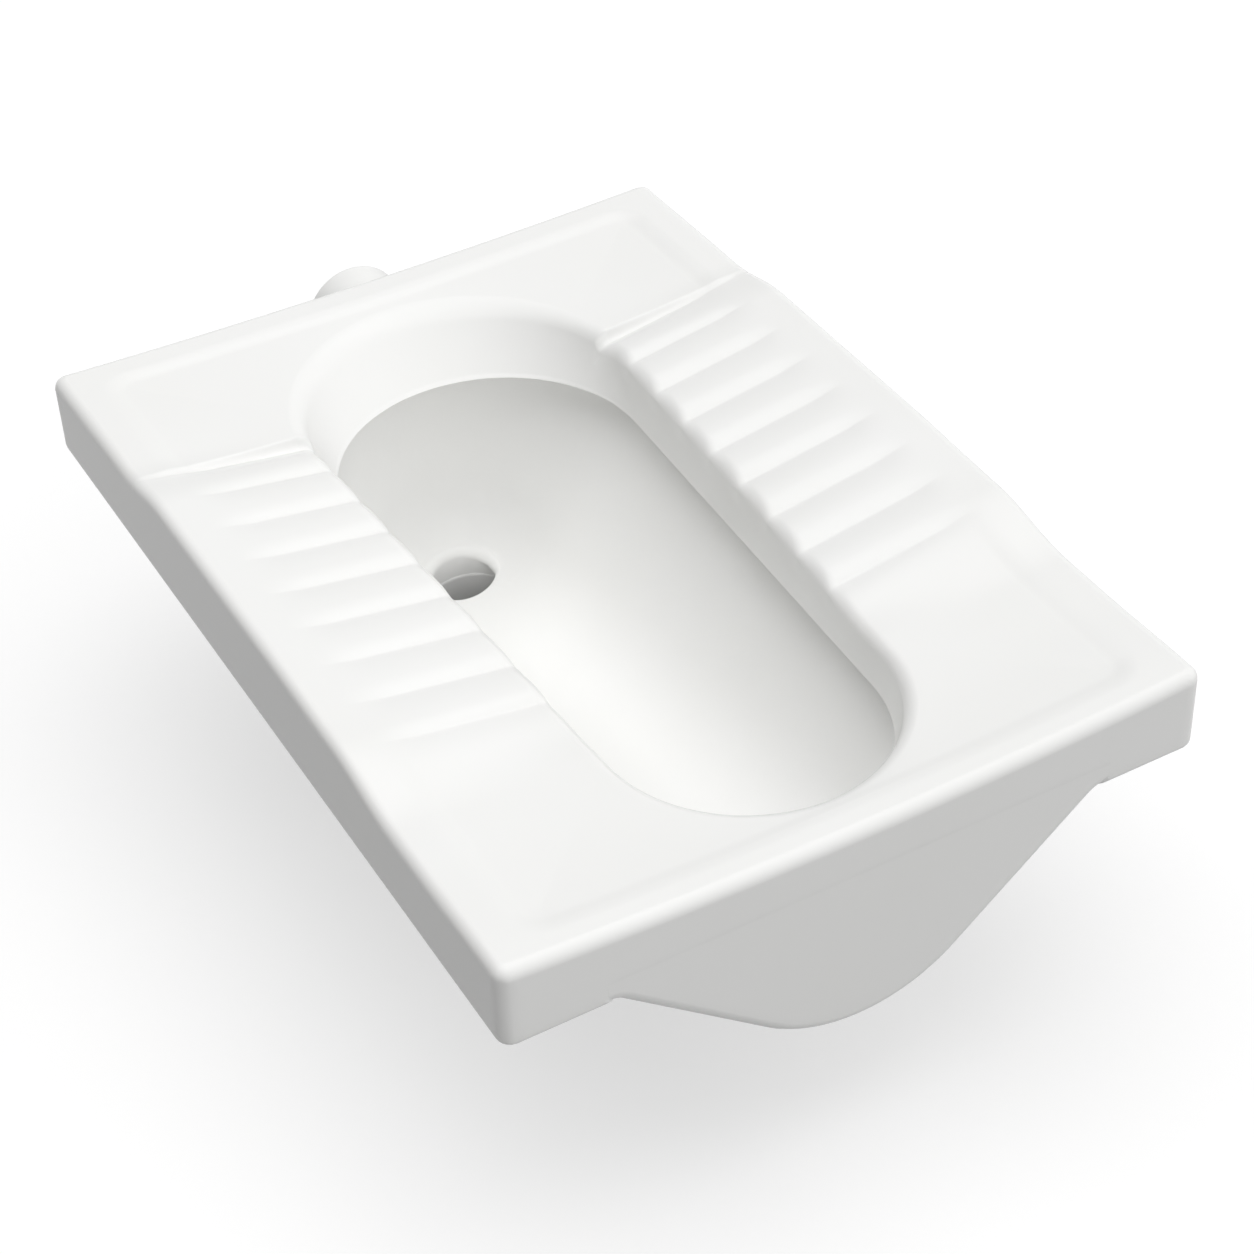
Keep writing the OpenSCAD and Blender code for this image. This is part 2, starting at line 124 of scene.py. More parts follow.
# Distance to an outline of two rounds joined by their tangents
def outlineReach(line, outline):
    poleY, dirX, dirY = line
    rearRadius, rearY, frontRadius, frontY = outline
    lean = np.arcsin((rearRadius - frontRadius)/(rearY - frontY))
    toRear = roundReach(line, rearRadius, 0, rearY)
    toFront = roundReach(line, frontRadius, 0, frontY)
    across = np.abs(dirX)*np.cos(lean) - dirY*np.sin(lean)
    toSide = (rearRadius + (poleY - rearY)*np.sin(lean))/np.maximum(across, 1e-6)
    onRear = (dirY > -1e-9) & (poleY + toRear*dirY >= rearY - rearRadius*np.sin(lean))
    onFront = (dirY < 1e-9) & (poleY + toFront*dirY <= frontY - frontRadius*np.sin(lean))
    return np.where(onRear, toRear, np.where(onFront, toFront, toSide))


# Distance to the deck's rectangle, set in from its edge, with round corners
def rectangleReach(line, inset, corner):
    poleY, dirX, dirY = line
    halfX, halfY = deck["halfWidth"] - inset, deck["halfLength"] - inset
    mirroredY = np.where(dirY < 0, -poleY, poleY)
    absX, absY = np.abs(dirX), np.abs(dirY)
    flat = np.minimum(halfX/np.maximum(absX, 1e-9), (halfY - mirroredY)/np.maximum(absY, 1e-9))
    inCorner = (flat*absX > halfX - corner) & (mirroredY + flat*absY > halfY - corner)
    turned = roundReach((mirroredY, absX, absY), corner, halfX - corner, halfY - corner)
    return np.where(inCorner, turned, flat)


# Height of the deck's side edge: up at the treads, falling slowly and then quickly to the front
def sideHeight(y):
    return deck["sideBase"] + sum(rise*ease((start - y)/run) for start, run, rise in deck["sideSteps"])


# Height of the deck's top: a sagging border, two trays that fall to the opening, two leaning treads
def topHeight(x, y):
    side = np.abs(x)
    fromFront = (y + deck["halfLength"])/(2*deck["halfLength"])
    dish = deck["frontDish"] + (deck["rearDish"] - deck["frontDish"])*ease(fromFront)
    border = sideHeight(y) - dish*(1 - (side/deck["halfWidth"])**2)
    rearRadius, rearY, frontRadius, frontY = opening["outline"]
    fromOpening = np.where(y > 0, np.hypot(x, y - rearY) - rearRadius, np.hypot(x, y - frontY) - frontRadius)
    raised = sideHeight(y) - tread["fall"]*(deck["halfWidth"] - side)/(deck["halfWidth"] - rearRadius)
    onTread = between(y, *tread["rearStep"])*between(y, *tread["frontStep"])
    middleY = (deck["trayRear"] + deck["trayFront"])/2
    halfY = (deck["trayRear"] - deck["trayFront"])/2
    outX = side - deck["trayHalfWidth"] + deck["trayCorner"]
    outY = np.abs(y - middleY) - halfY + deck["trayCorner"]
    past = (np.hypot(np.maximum(outX, 0), np.maximum(outY, 0)) + np.minimum(np.maximum(outX, outY), 0)
            - deck["trayCorner"])
    # The added millimetre keeps the share of the way finite
    toLip, toMouth = np.maximum(-past, 0), np.maximum(fromOpening, 0) + 1
    nearMouth = toLip/(toLip + toMouth)
    mouth = np.where(y > 0, *deck["trayMouth"])
    tray = border - deck["trayLip"] + (mouth + deck["trayLip"] - border)*nearMouth
    onBorder = ease(past/deck["trayLipWidth"] + 0.5)*(1 - onTread)
    inside = tray + (raised - tray)*onTread
    return inside + (border - inside)*onBorder


# Depth of the grooves, more towards the opening: each rib rises slowly from the groove behind it to a crest
# near its front and falls steeply into the next groove. In front of the last one it only rises
def grooveDepth(x, y):
    past = (tread["firstGroove"] - y)/tread["pitch"]
    rib = np.clip(np.floor(past), -1, tread["grooves"] - 1)
    along = np.maximum(past - rib, 0)
    rising, falling = along/tread["crest"], (1 - along)/(1 - tread["crest"])
    away = np.where((along < tread["crest"]) | (rib > tread["grooves"] - 2), rising, falling)
    valley = np.clip(1 - np.sqrt(away**2 + tread["grooveRound"]**2), 0, 1)**tread["pillow"]
    fromSide = tread["grooveStart"] - np.abs(x)
    inward = np.clip(fromSide/(tread["grooveStart"] - opening["outline"][0]), 0, 1)
    depth = tread["outerDepth"] + (tread["innerDepth"] - tread["outerDepth"])*inward
    return depth*valley*ease(fromSide/tread["grooveTip"])*between(y, *tread["rearStep"])


# The glazed skin, v from 0 to 5: leaning wall from the lip, rolled edge, deck, round top edge, skirt.
# On each plan line the roll and the round are quarter circles taken off the deck's height.
def plainSkin(u, v):
    line = planLine(u)
    poleY, dirX, dirY = line
    roll = opening["sideRoll"] + (opening["rearRoll"] - opening["sideRoll"])*ease(dirY)

    def at(reach):
        return reach*dirX, poleY + reach*dirY

    lipLevel = opening["lipLevel"]
    edgeZ = topHeight(*at(outlineReach(line, grown(opening["outline"], roll))))
    footPart = (edgeZ - roll)/lipLevel
    foot = outlineReach(line, mixed(opening["outline"], opening["lip"], footPart))
    wallTop = topHeight(*at(foot)) - roll
    wallZ = lipLevel + (wallTop - lipLevel)*np.clip(v, 0, 1)
    wallPart = 1 + (footPart - 1)*np.clip(v, 0, 1)
    wallReach = outlineReach(line, mixed(opening["outline"], opening["lip"], wallPart))
    rollTurn = np.clip(v - 1, 0, 1)*np.pi/2
    rollZ = edgeZ - roll*(1 - np.sin(rollTurn))
    rollReach = outlineReach(line, grown(mixed(opening["outline"], opening["lip"], rollZ/lipLevel),
                                         roll*(1 - np.cos(rollTurn))))
    edgeTurn = np.clip(v - 3, 0, 1)*np.pi/2
    outer = rectangleReach(line, deck["topEdge"]*(1 - np.sin(edgeTurn)),
                           deck["planCorner"] - deck["topEdge"]*(1 - np.sin(edgeTurn)))
    reach = np.where(v < 1, wallReach, rollReach + (outer - rollReach)*np.clip(v - 2, 0, 1))
    x, y = at(reach)
    top = topHeight(x, y) - roll*(1 - np.sin(rollTurn)) - deck["topEdge"]*(1 - np.cos(edgeTurn))
    z = np.where(v < 1, wallZ, top)
    sideFoot = deck["skirtFoot"] + deck["lowerEdge"]
    z = np.where(v > 4, top + (sideFoot - top)*(v - 4), z)
    return np.stack(np.broadcast_arrays(x, y, z), -1)


# Unit normals from the differences along u and v; on the skin they point into the china
def surfaceNormals(surface, u, v, step=2e-4):
    acrossU = surface(u + step, v) - surface(u - step, v)
    acrossV = surface(u, v + step) - surface(u, v - step)
    normals = np.cross(acrossU, acrossV)
    return normals/np.maximum(np.linalg.norm(normals, axis=-1, keepdims=True), 1e-12)


# The skin with its grooves: each point goes into the china along the plain skin's normal, by a depth
# that fades over the roll and down the wall
def panSkin(u, v):
    u, v = np.broadcast_arrays(np.asarray(u, float), np.asarray(v, float))
    points = plainSkin(u, v)
    depth = grooveDepth(points[..., 0], points[..., 1])
    wallTop = plainSkin(u, np.ones_like(v))[..., 2]
    onRoll = 1 - tread["rollFade"]*ease(2 - v)
    onWall = 1 - ease((wallTop - points[..., 2])/tread["wallFade"]*(v < 1))
    return points + surfaceNormals(plainSkin, u, v)*(depth*onRoll*onWall)[..., None]


def skinAt(u, v):
    return panSkin(u, v), surfaceNormals(panSkin, u, v)


# v of the wall at a level, from the wall's straight run between the lip and the roll
def wallV(u, level):
    wallTop = plainSkin(u, np.ones_like(u))[..., 2]
    return (level - opening["lipLevel"])/(wallTop - opening["lipLevel"])


# v of the skirt at a level, from the skirt's straight run
def skirtV(u, level):
    top = plainSkin(u, np.full_like(u, 4.0))[..., 2]
    return 4 + (level - top)/(deck["skirtFoot"] + deck["lowerEdge"] - top)


# Quads of a grid of points; a closed direction joins its last row to its first
def gridFaces(rows, columns, closedRows, closedColumns):
    i = np.arange(rows if closedRows else rows - 1)[:, None]
    j = np.arange(columns if closedColumns else columns - 1)[None, :]
    nextI, nextJ = (i + 1) % rows, (j + 1) % columns
    corners = [i*columns + j, nextI*columns + j, nextI*columns + nextJ, i*columns + nextJ]
    return np.stack(np.broadcast_arrays(*corners), -1).reshape(-1, 4)


# Normals of a grid from the differences of its neighbours
def gridNormals(points, closedRows, closedColumns):
    def difference(axis, closed):
        if closed:
            return np.roll(points, -1, axis) - np.roll(points, 1, axis)
        return np.gradient(points, axis=axis)
    normals = np.cross(difference(0, closedRows), difference(1, closedColumns))
    return normals/np.maximum(np.linalg.norm(normals, axis=-1, keepdims=True), 1e-12)


# Corners merge within a distance in metres. An edge is sharp past an angle in degrees, or where the
# surface's own normal and the face's agree too little
meshing = {"merge": 2e-6, "sharpAngle": 36, "sharpAgreement": 0.8}


# Mesh object from grids of points, with the surfaces' own normals, placed in the frame
def makePiece(name, node, blocks, material, caps=()):
    # Each block is (points in mm, normals, closed rows, closed columns)
    vertices, normals, faces, start = [], [], [], 0
    for points, blockNormals, closedRows, closedColumns in blocks:
        rows, columns = points.shape[:2]
        vertices.append(toMetres(points).reshape(-1, 3))
        normals.append(blockNormals.reshape(-1, 3))
        faces += (gridFaces(rows, columns, closedRows, closedColumns) + start).tolist()
        start += rows*columns
    faces += [list(cap) for cap in caps]
    mesh = bpy.data.meshes.new(name)
    mesh.from_pydata(np.concatenate(vertices), [], faces)
    mesh.attributes.new("skinNormal", "FLOAT_VECTOR", "POINT").data.foreach_set(
        "vector", np.concatenate(normals).ravel())
    shell = bmesh.new()
    shell.from_mesh(mesh)
    bmesh.ops.remove_doubles(shell, verts=shell.verts, dist=meshing["merge"])
    if shell.calc_volume(signed=True) < 0:
        bmesh.ops.reverse_faces(shell, faces=shell.faces)
    openEdges = sum(1 for edge in shell.edges if len(edge.link_faces) != 2)
    shell.to_mesh(mesh)
    shell.free()
    mesh.update()
    # A corner takes the surface's own normal, or its face's where that edge is sharp
    vertexNormals = np.empty(len(mesh.vertices)*3)
    mesh.attributes["skinNormal"].data.foreach_get("vector", vertexNormals)
    vertexNormals = vertexNormals.reshape(-1, 3)
    corners = np.empty(len(mesh.loops), int)
    mesh.loops.foreach_get("vertex_index", corners)
    faceNormals = np.empty(len(mesh.polygons)*3)
    mesh.polygons.foreach_get("normal", faceNormals)
    sizes = np.empty(len(mesh.polygons), int)
    mesh.polygons.foreach_get("loop_total", sizes)
    faceNormals = np.repeat(faceNormals.reshape(-1, 3), sizes, axis=0)
    cornerNormals = vertexNormals[corners]
    agreement = (cornerNormals*faceNormals).sum(1)
    cornerNormals = np.where(agreement[:, None] < 0, -cornerNormals, cornerNormals)
    onSharpEdge = np.abs(agreement)[:, None] < meshing["sharpAgreement"]
    cornerNormals = np.where(onSharpEdge, faceNormals, cornerNormals)
    mesh.attributes.remove(mesh.attributes["skinNormal"])
    mesh.shade_smooth()
    mesh.set_sharp_from_angle(angle=np.radians(meshing["sharpAngle"]))
    mesh.normals_split_custom_set(cornerNormals.tolist())
    mesh.materials.append(material)
    piece = bpy.data.objects.new(name, mesh)
    bpy.context.scene.collection.objects.link(piece)
    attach(piece, "root")
    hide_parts(node)
    print(f"{name}: {len(mesh.polygons)} faces, {openEdges} open edges")


# Colours are written as sRGB hex values, turned to the linear values that shaders take
def linearColour(hexValue):
    channels = [int(hexValue[i:i + 2], 16)/255 for i in (1, 3, 5)]
    return tuple(c/12.92 if c <= 0.04045 else ((c + 0.055)/1.055)**2.4 for c in channels) + (1.0,)


# Node with its settings, its constant inputs and its links
def addNode(tree, kind, settings=None, inputs=None, links=None):
    made = tree.nodes.new(kind)
    for key, value in (settings or {}).items():
        setattr(made, key, value)
    for key, value in (inputs or {}).items():
        made.inputs[key].default_value = value
    for key, source in (links or {}).items():
        tree.links.new(source, made.inputs[key])
    return made


glaze = {
    "white": "#F7F7F6", "cloud": "#F5F5F3", "roughness": (0.22, 0.265), "specular": 0.22,
    "cloudSize": 120, "cloudDetail": 1.0, "cloudRamp": (0.1, 0.9),              # sizes are in millimetres
    "peelSize": 5, "peelHeight": 0.012, "peelDetail": 1.0, "peelRoughness": 0.4, "peelStrength": 0.35,
}


# Glazed vitreous china: white body under a fired opaque glaze, sprayed on and pooled by gravity.
# It gives clean soft reflections, a faint orange peel and barely seen warm clouds.
def makeGlaze():
    material = bpy.data.materials.new("glazedVitreousChina")
    material.use_nodes = True
    tree = material.node_tree
    tree.nodes.clear()
    place = addNode(tree, "ShaderNodeTexCoord").outputs["Object"]
    clouds = addNode(tree, "ShaderNodeTexNoise", None,
                     {"Scale": 1000/glaze["cloudSize"], "Detail": glaze["cloudDetail"]}, {"Vector": place})
    colour = addNode(tree, "ShaderNodeValToRGB", None, None, {"Fac": clouds.outputs["Fac"]})
    stops = zip(colour.color_ramp.elements, glaze["cloudRamp"], (glaze["cloud"], glaze["white"]))
    for stop, position, hexValue in stops:
        stop.position = position
        stop.color = linearColour(hexValue)
    gloss = addNode(tree, "ShaderNodeMapRange", None,
                    {"From Min": glaze["cloudRamp"][0], "From Max": glaze["cloudRamp"][1],
                     "To Min": glaze["roughness"][0], "To Max": glaze["roughness"][1]},
                    {"Value": clouds.outputs["Fac"]})
    peel = addNode(tree, "ShaderNodeTexNoise", None,
                   {"Scale": 1000/glaze["peelSize"], "Detail": glaze["peelDetail"],
                    "Roughness": glaze["peelRoughness"]}, {"Vector": place})
    bump = addNode(tree, "ShaderNodeBump", None,
                   {"Strength": glaze["peelStrength"], "Distance": glaze["peelHeight"]/1000},
                   {"Height": peel.outputs["Fac"]})
    shader = addNode(tree, "ShaderNodeBsdfPrincipled", None,
                     {"IOR": 1.5, "Specular IOR Level": glaze["specular"]},
                     {"Base Color": colour.outputs["Color"], "Roughness": gloss.outputs["Result"],
                      "Normal": bump.outputs["Normal"]})
    addNode(tree, "ShaderNodeOutputMaterial", None, None, {"Surface": shader.outputs["BSDF"]})
    return material


glazeMaterial = makeGlaze()


# Direction to a lamp or camera: 0 is in front, 90 on the right and 180 behind
def towards(azimuth, elevation):
    azimuth, elevation = np.radians(azimuth), np.radians(elevation)
    return Vector((np.sin(azimuth)*np.cos(elevation), -np.cos(azimuth)*np.cos(elevation), np.sin(elevation)))


# Camera at the photograph's angle: in front, to the left and above. Distance and target are in deck
# widths, the focal length and the picture's side in its pixels, the sensor in mm, the clipping in metres
view = {"azimuth": -28.06, "elevation": 39.79, "roll": -2.54, "distance": 3.697,
        "target": (-0.071, -0.243, 0), "focalPixels": 2879, "picturePixels": 1254, "sensor": 36,
        "clip": (0.05, 60)}


def makeCamera():
    azimuth, roll = np.radians(view["azimuth"]), np.radians(view["roll"])
    back = np.array(towards(view["azimuth"], view["elevation"]))
    level = np.array([np.cos(azimuth), np.sin(azimuth), 0])
    upright = np.cross(back, level)
    right = level*np.cos(roll) + upright*np.sin(roll)
    up = upright*np.cos(roll) - level*np.sin(roll)
    data = bpy.data.cameras.new("photoCamera")
    data.sensor_width = view["sensor"]
    data.lens = view["focalPixels"]*view["sensor"]/view["picturePixels"]
    data.clip_start, data.clip_end = view["clip"]
    camera = bpy.data.objects.new("photoCamera", data)
    turn = Matrix(np.column_stack([right, up, back]).tolist()).to_4x4()
    place = toMetres((np.array(view["target"]) + back*view["distance"])*2*deck["halfWidth"])
    camera.matrix_world = Matrix.Translation(Vector(place)) @ turn
    bpy.context.scene.collection.objects.link(camera)
    bpy.context.scene.camera = camera
    print("camera placed")


makeCamera()

# Rows of v, shared by the pieces that meet along them, and the places of the treads' lines
skinRows = {"wall": 4, "roll": 15, "deck": 82, "crowding": 1.12, "edge": 9, "skirt": 4, "treadLines": 401,
            "lowerSkirt": 6, "lowerEdge": 5, "innerWall": 2, "floor": 10}
topRows = np.concatenate([np.linspace(1, 2, skinRows["roll"]),
                          2 + np.linspace(0, 1, skinRows["deck"])[1:]**skinRows["crowding"],
                          np.linspace(3, 4, skinRows["edge"])[1:]])
treadY = np.linspace(tread["front"], tread["rear"], skinRows["treadLines"])


# The skin from the wall's top out to the level where the treads' seat meets the skirt
def acrossTop(u):
    seatV = skirtV(u, deck["seatLevel"])[:, None]
    v = np.broadcast_to(topRows, (len(u), len(topRows)))
    down = np.linspace(0, 1, skinRows["skirt"] + 1)[1:]
    return skinAt(u[:, None], np.concatenate([v, 4 + (seatV - 4)*down], axis=1))


# A closed loop of v on each line across the tread, with a flat cap at both ends
def makeTread(name, node, left):
    points, normals = acrossTop(sideU(treadY, left))
    rows, columns = points.shape[:2]
    caps = [list(range(columns)), list(range((rows - 1)*columns, rows*columns))[::-1]]
    if left:
        caps = [cap[::-1] for cap in caps]
    makePiece(name, node, [(points, normals, False, True)], glazeMaterial, caps)


# Row of points at a reach along the plan lines and at a level
def planRow(line, reach, level):
    return np.stack([reach*line[1], line[0] + reach*line[2], level + 0*reach], -1)


# The skirt's round lower edge, its foot and inner wall, then the plate's underside in to the opening
def underRows(u, inner, foot):
    line = planLine(u)
    notched = foot > deck["skirtFoot"]
    radius = np.where(notched, 0.0, deck["lowerEdge"])
    rows = []

    def addRow(inset, corner, level):
        rows.append(planRow(line, rectangleReach(line, inset, corner), level))

    for part in np.linspace(0, 1, skinRows["lowerSkirt"] + 1)[1:]:
        addRow(0, deck["planCorner"], deck["seatLevel"] + (foot + radius - deck["seatLevel"])*part)
    for turn in np.linspace(0, np.pi/2, skinRows["lowerEdge"] + 1)[1:]:
        inset = radius*(1 - np.cos(turn)) + np.where(notched, turn, 0)
        addRow(inset, np.maximum(deck["planCorner"] - inset, 1), foot + radius*(1 - np.sin(turn)))
    addRow(deck["skirtWall"], deck["innerCorner"], foot)
    for part in np.linspace(0, 1, skinRows["innerWall"] + 1)[1:]:
        addRow(deck["skirtWall"], deck["innerCorner"], foot + (deck["plateFloor"] - foot)*part)
    part = np.linspace(0, 1, skinRows["floor"] + 2)[1:-1][:, None, None]
    floor = rows[-1][None]*(1 - part) + inner[None]*part
    floor[..., 2] = deck["plateFloor"]
    return np.concatenate([np.stack(rows, 1), np.moveaxis(floor, 0, 1)], 1)


def deckWall(u):
    lowV = wallV(u, deck["plateFloor"])[:, None]
    return skinAt(u[:, None], lowV + (1 - lowV)*np.linspace(0, 1, skinRows["wall"] + 1)[:-1])


# Part of a fan at which its line meets the deck's end edge at a given x
def fanPart(x, rear):
    return np.arctan2(deck["halfLength"] - abs(linePoles[1 if rear else 0]), x)/np.pi


# Plan lines of the deck's ends: up to a corner, within a part of it either way, on to the middle
endLines = {"spread": 0.03, "toCorner": 26, "corner": 22, "rear": 56, "besideNotch": 8, "notch": 60,
            "lead": 6}


# The two ends, with the front wall's notch and the arch over the horn, then the sides under the treads
def makeDeck():
    spread, blocks, caps, start = endLines["spread"], [], [], 0

    def upToCorner(corner):
        return np.concatenate([np.linspace(0, corner - spread, endLines["toCorner"]),
                               np.linspace(corner - spread, corner + spread, endLines["corner"])[1:]])

    def pastCorner(corner, end, count):
        return np.concatenate([upToCorner(corner), np.linspace(corner + spread, end, count)[1:]])

    rearCorner, frontCorner = fanPart(deck["halfWidth"], True), fanPart(deck["halfWidth"], False)
    notch = fanPart(bellHalfWidth, False)
    rearFan = pastCorner(rearCorner, 0.5, endLines["rear"])
    beside = pastCorner(frontCorner, notch, endLines["besideNotch"])
    frontFan = np.concatenate([beside, np.linspace(notch, 0.5, endLines["notch"])])
    inNotch = np.arange(len(frontFan)) >= len(beside)
    lead = sideU(np.linspace(linePoles[0], tread["front"], endLines["lead"]))
    rearU = np.concatenate([1 + rearFan, 2 - rearFan[-2::-1]])
    frontU = np.concatenate([3 - lead[::-1], 3 + frontFan[1:], 4 - frontFan[-2:0:-1], 4 + lead])
    noLead = np.zeros(len(lead), bool)
    frontNotch = np.concatenate([noLead, inNotch[1:], inNotch[-2:0:-1], noLead])
    # Over the horn's socket the skirt's foot is an arch
    line = planLine(rearU)
    archX = line[1]*(deck["halfLength"] - line[0])/np.maximum(line[2], 1e-6)
    overSocket = (np.abs(archX) < horn["arch"]) & (line[2] > 0)
    arch = horn["axisLevel"] + np.sqrt(np.maximum(horn["arch"]**2 - archX**2, 0))
    rearFoot = np.where(overSocket, arch, deck["skirtFoot"])
    frontFoot = np.where(frontNotch, deck["notchLevel"], deck["skirtFoot"])
    for u, foot in ((rearU, rearFoot), (frontU, frontFoot)):
        wall, wallNormals = deckWall(u)
        top, topNormals = acrossTop(u)
        under = underRows(u, wall[:, 0], foot)
        points = np.concatenate([wall, top, under], 1)
        underNormals = gridNormals(points, False, True)[:, -under.shape[1]:]
        normals = np.concatenate([wallNormals, topNormals, underNormals], 1)
        blocks.append((points, normals, False, True))
        # The step at each end, down to the treads' seat
        first, last, columns = wall.shape[1], wall.shape[1] + top.shape[1], points.shape[1]
        ends = start + (len(u) - 1)*columns
        caps += [list(range(start + first, start + last))[::-1], list(range(ends + first, ends + last))]
        start += points.shape[0]*columns
    for left in (False, True):
        u = sideU(treadY[::-1] if left else treadY, left)
        wall, wallNormals = deckWall(u)
        top, topNormals = acrossTop(u)
        under = underRows(u, wall[:, 0], np.full(len(u), deck["skirtFoot"]))
        points = np.concatenate([wall, top[:, [0, -1]], under], 1)
        underNormals = gridNormals(points, False, True)[:, -under.shape[1]:]
        normals = np.concatenate([wallNormals, topNormals[:, [0, -1]], underNormals], 1)
        blocks.append((points, normals, False, True))
    makePiece("deckPlate", "deck_plate", blocks, glazeMaterial, caps)


rim = {"wall": 8, "channelOuter": (126.3, 150.7, 112.8, -177.2), "channelFloor": -37,
       "lines": 120, "wallRows": 12, "channelRows": 3, "floorRows": 5, "outsideRows": 6, "roundRows": 4,
       "underRows": 9}


# Square ring under the deck: the opening's wall, then round the open water channel and back below
def makeRim():
    stretch = np.linspace(0, 1, rim["lines"] + 1)[:-1]
    u = np.concatenate([start + stretch for start in range(4)])
    line = planLine(u)
    plateFloor, channelFloor = deck["plateFloor"], rim["channelFloor"]
    lip, lipLevel, lipRound = opening["lip"], opening["lipLevel"], opening["lipRound"]
    topV = wallV(u, plateFloor)[:, None]
    wallParts = np.linspace(lipRound/(plateFloor - lipLevel), 1, rim["wallRows"])
    points, normals = skinAt(u[:, None], topV*wallParts)
    channelInner = grown(mixed(opening["outline"], lip, plateFloor/lipLevel), rim["wall"])
    channelOuter = rim["channelOuter"]
    outside = grown(channelOuter, rim["wall"])
    rows = []

    def addRow(outline, level):
        rows.append(planRow(line, outlineReach(line, outline), level))

    for level in np.linspace(plateFloor, channelFloor, rim["channelRows"] + 1):
        addRow(channelInner, level)
    for part in np.linspace(0, 1, rim["floorRows"] + 1)[1:]:
        addRow(mixed(channelInner, channelOuter, part), channelFloor)
    for level in np.linspace(channelFloor, plateFloor, rim["channelRows"] + 1)[1:]:
        addRow(channelOuter, level)
    for level in np.linspace(plateFloor, lipLevel + lipRound, rim["outsideRows"]):
        addRow(outside, level)
    quarter = np.linspace(0, np.pi/2, rim["roundRows"] + 1)[1:]
    for turn in quarter:
        addRow(grown(outside, -lipRound*(1 - np.cos(turn))), lipLevel + lipRound*(1 - np.sin(turn)))
    for part in np.linspace(0, 1, rim["underRows"] + 1)[1:]:
        addRow(mixed(grown(outside, -lipRound), grown(lip, lipRound), part), lipLevel)
    for turn in quarter[:-1]:
        addRow(grown(lip, lipRound*(1 - np.sin(turn))), lipLevel + lipRound*(1 - np.cos(turn)))
    whole = np.concatenate([points, np.stack(rows, 1)], 1)
    allNormals = gridNormals(whole, True, True)
    allNormals[:, 1:points.shape[1]] = normals[:, 1:]
    makePiece("flushRim", "flush_rim", [(whole, allNormals, True, True)], glazeMaterial)


bowl = {
    "lipGap": 19, "wall": 12, "shoulder": -53,            # gap behind the lip, level of the mouth's shoulder
    "frontPole": -182, "frontRadius": 88, "frontLevel": -57,
    "drainY": 170, "drainRadius": 34, "sumpRadius": 64, "sumpLevel": -124,
    "throat": (23, 20, 10, 186), "throatRoll": (2.5, 8),  # half width, far and near length, middle; near, far
    "keelEnd": -164, "keelFront": -303, "flankReach": 156.5,
    "trackPole": -62, "columns": 440, "trackSteps": 20001, "turnShare": 0.6, "rollTurn": 0.6,
    "insideRows": 100, "insideCrowding": 0.8, "edgeRows": 9, "outsideRows": 80, "outsideCrowding": 1.3,
}


# Level of a trough at a plan point: on the half plane from the keel line through the point, an arc
# round the keel's axis up to its tangent, then the tangent to the shoulder under the mouth
def troughLevel(x, y, mouth, poles, radii):
    frontPole, keelEnd, rearPole = poles
    poleY = np.clip(y, frontPole, rearPole)
    away = np.hypot(x, y - poleY)
    dirX = np.where(away > 1e-6, x/np.maximum(away, 1e-6), 1.0)
    dirY = np.where(away > 1e-6, (y - poleY)/np.maximum(away, 1e-6), 0.0)
    mouthReach = outlineReach((poleY, dirX, dirY), mouth)
    part = np.clip((poleY - keelEnd)/(rearPole - keelEnd), 0, 1)
    radius = radii[0] + (radii[1] - radii[0])*part
    axisLevel = bowl["frontLevel"] + (bowl["sumpLevel"] - bowl["frontLevel"])*part
    rise = bowl["shoulder"] - axisLevel
    tangentTurn = np.arctan2(rise, mouthReach) - np.arccos(np.clip(radius/np.hypot(rise, mouthReach), -1, 1))
    tangentReach = radius*np.cos(tangentTurn)
    tangentLevel = axisLevel + radius*np.sin(tangentTurn)
    arc = axisLevel - np.sqrt(np.maximum(radius**2 - away**2, 0))
    slope = (bowl["shoulder"] - tangentLevel)/np.maximum(mouthReach - tangentReach, 1e-6)
    return np.where(away < tangentReach, arc, tangentLevel + slope*(away - tangentReach))


# Mouth, poles along the keel and radii of the bowl's inside and of its outside
innerShape = (grown(opening["lip"], bowl["lipGap"]), (bowl["frontPole"], bowl["frontPole"], bowl["drainY"]),
              (bowl["frontRadius"], bowl["sumpRadius"]))
outerShape = ((innerShape[0][0] + bowl["wall"], innerShape[0][1], bowl["flankReach"], bowl["keelFront"]),
              (bowl["keelFront"], bowl["keelEnd"], bowl["drainY"]),
              (bowl["frontRadius"] + bowl["wall"], bowl["sumpRadius"] + bowl["wall"]))


